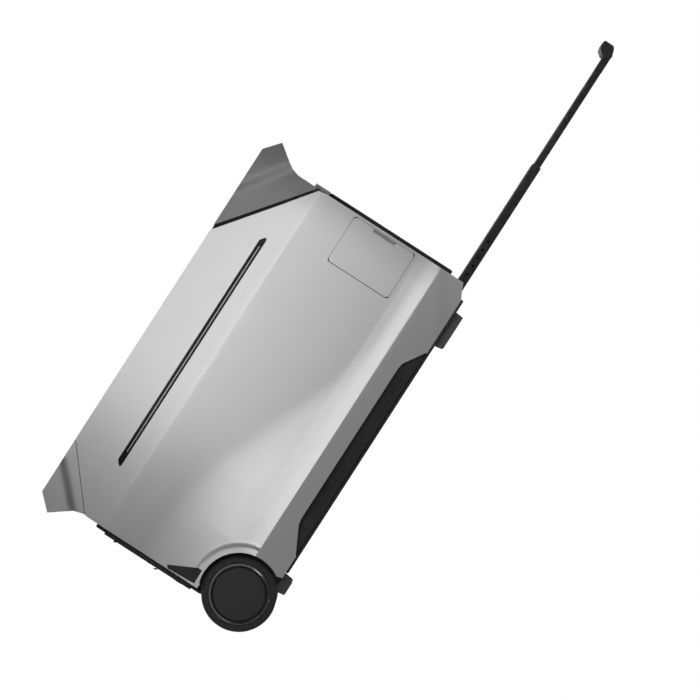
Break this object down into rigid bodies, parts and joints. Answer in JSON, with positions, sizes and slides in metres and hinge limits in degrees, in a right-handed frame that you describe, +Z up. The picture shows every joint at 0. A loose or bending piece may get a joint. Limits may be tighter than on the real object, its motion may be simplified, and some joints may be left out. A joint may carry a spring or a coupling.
{
  "type": "wheeled power station",
  "caption": "Wheeled portable power station with a silver shell, a telescopic pull handle drawn out and lifting handles at both ends.",
  "frame": {"origin": "on the floor under the middle of the overall box, with the pull handle drawn out", "axes": "+X from the wheels towards the pull handle, +Y to the left side, +Z up"},
  "size_m": [1.0126, 0.285, 0.3754],
  "materials": {
    "silver_shell": "satin silver metallic",
    "grey_shell": "satin grey metallic",
    "black_plastic": "fine texture",
    "gloss_black": "polished",
    "rubber": "matte",
    "tyre": "matte",
    "rim": "dark metallic",
    "steel": "turned",
    "pole": "black anodised",
    "cell_pack": "matte",
    "circuit": "matte",
    "button": "matte"
  },
  "bodies": {
    "housing": {"side_panel_right": "silver_shell", "side_panel_left": "silver_shell", "top_cover": "silver_shell", "rear_handle": "silver_shell", "rear_frame": "silver_shell", "front_handle": "grey_shell", "front_frame": "grey_shell", "corner_vent_right": "black_plastic", "corner_vent_left": "black_plastic", "base_tray": "black_plastic", "wheel_liner_right": "black_plastic", "wheel_liner_left": "black_plastic", "front_panel": "black_plastic", "ac_socket_plate": "black_plastic", "dc_socket_plate": "black_plastic", "car_socket": "black_plastic", "rear_panel": "black_plastic", "port_bay": "black_plastic", "pole_guide_right": "black_plastic", "pole_guide_left": "black_plastic", "fan_bulkhead": "black_plastic", "trim_strip_right": "gloss_black", "trim_strip_left": "gloss_black", "display_window": "gloss_black", "handle_gasket": "rubber", "front_foot_right": "rubber", "front_foot_left": "rubber", "rear_foot_right": "rubber", "rear_foot_left": "rubber", "axle": "steel", "door_hinge_pin": "steel", "battery_pack": "cell_pack", "inverter_module": "circuit"},
    "wheel_right": {"tyre_right": "tyre", "rim_right": "rim", "hub_cap_right": "black_plastic"},
    "wheel_left": {"tyre_left": "tyre", "rim_left": "rim", "hub_cap_left": "black_plastic"},
    "door": {"port_door": "silver_shell"},
    "outer_poles": {"outer_tube_right": "pole", "outer_tube_left": "pole"},
    "pull_grip": {"inner_tube_right": "pole", "inner_tube_left": "pole", "grip": "black_plastic"},
    "grip_release": {"grip_button": "button"},
    "power_key": {"power_button": "button"},
    "ac_key": {"ac_button": "button"},
    "dc_key": {"dc_button": "button"},
    "breaker_right": {"breaker_button_right": "button"},
    "breaker_left": {"breaker_button_left": "button"},
    "rate_switch": {"charge_rate_switch": "button"},
    "car_cap": {"car_socket_cap": "rubber"},
    "link_cap": {"link_port_cap": "rubber"},
    "mains_cap": {"mains_inlet_cap": "rubber"},
    "solar_cap": {"solar_port_cap": "rubber"},
    "fan_right": {"fan_rotor_right": "black_plastic"},
    "fan_left": {"fan_rotor_left": "black_plastic"}
  },
  "joints": [
    {"name": "wheel_right_spin", "type": "hinge", "parent": "housing", "child": "wheel_right", "pos_m": [-0.45195, -0.1245, 0.056], "axis": [0, 1, 0], "continuous": true},
    {"name": "wheel_left_spin", "type": "hinge", "parent": "housing", "child": "wheel_left", "pos_m": [-0.45195, 0.1245, 0.056], "axis": [0, 1, 0], "continuous": true},
    {"name": "door_swing", "type": "hinge", "parent": "housing", "child": "door", "pos_m": [0.01405, -0.12515, 0.1585], "axis": [0, 0, -1], "range_deg": [0, 95]},
    {"name": "outer_pole_slide", "type": "slide", "parent": "housing", "child": "outer_poles", "axis": [1, 0, 0], "range_m": [-0.226, 0]},
    {"name": "inner_pole_slide", "type": "slide", "parent": "outer_poles", "child": "pull_grip", "axis": [1, 0, 0], "range_m": [-0.15, 0]},
    {"name": "grip_release_press", "type": "slide", "parent": "pull_grip", "child": "grip_release", "axis": [-1, 0, 0], "range_m": [0, 0.002], "stiffness_N_per_m": 1200, "springref_m": -0.001},
    {"name": "power_press", "type": "slide", "parent": "housing", "child": "power_key", "axis": [-1, 0, 0], "range_m": [0, 0.0012], "stiffness_N_per_m": 1200, "springref_m": -0.001},
    {"name": "ac_press", "type": "slide", "parent": "housing", "child": "ac_key", "axis": [-1, 0, 0], "range_m": [0, 0.001], "stiffness_N_per_m": 1200, "springref_m": -0.001},
    {"name": "dc_press", "type": "slide", "parent": "housing", "child": "dc_key", "axis": [-1, 0, 0], "range_m": [0, 0.001], "stiffness_N_per_m": 1200, "springref_m": -0.001},
    {"name": "breaker_right_press", "type": "slide", "parent": "housing", "child": "breaker_right", "axis": [1, 0, 0], "range_m": [0, 0.002], "stiffness_N_per_m": 1200, "springref_m": -0.001},
    {"name": "breaker_left_press", "type": "slide", "parent": "housing", "child": "breaker_left", "axis": [1, 0, 0], "range_m": [0, 0.002], "stiffness_N_per_m": 1200, "springref_m": -0.001},
    {"name": "charge_rate_slide", "type": "slide", "parent": "housing", "child": "rate_switch", "axis": [0, 1, 0], "range_m": [0, 0.005]},
    {"name": "car_cap_pull", "type": "slide", "parent": "housing", "child": "car_cap", "axis": [1, 0, 0], "range_m": [0, 0.012]},
    {"name": "link_cap_pull", "type": "slide", "parent": "housing", "child": "link_cap", "axis": [-1, 0, 0], "range_m": [0, 0.012]},
    {"name": "mains_cap_pull", "type": "slide", "parent": "housing", "child": "mains_cap", "axis": [-1, 0, 0], "range_m": [0, 0.012]},
    {"name": "solar_cap_pull", "type": "slide", "parent": "housing", "child": "solar_cap", "axis": [-1, 0, 0], "range_m": [0, 0.012]},
    {"name": "fan_right_spin", "type": "hinge", "parent": "housing", "child": "fan_right", "pos_m": [-0.03845, -0.05, 0.14], "axis": [1, 0, 0], "continuous": true},
    {"name": "fan_left_spin", "type": "hinge", "parent": "housing", "child": "fan_left", "pos_m": [-0.03845, 0.05, 0.14], "axis": [1, 0, 0], "continuous": true}
  ]
}
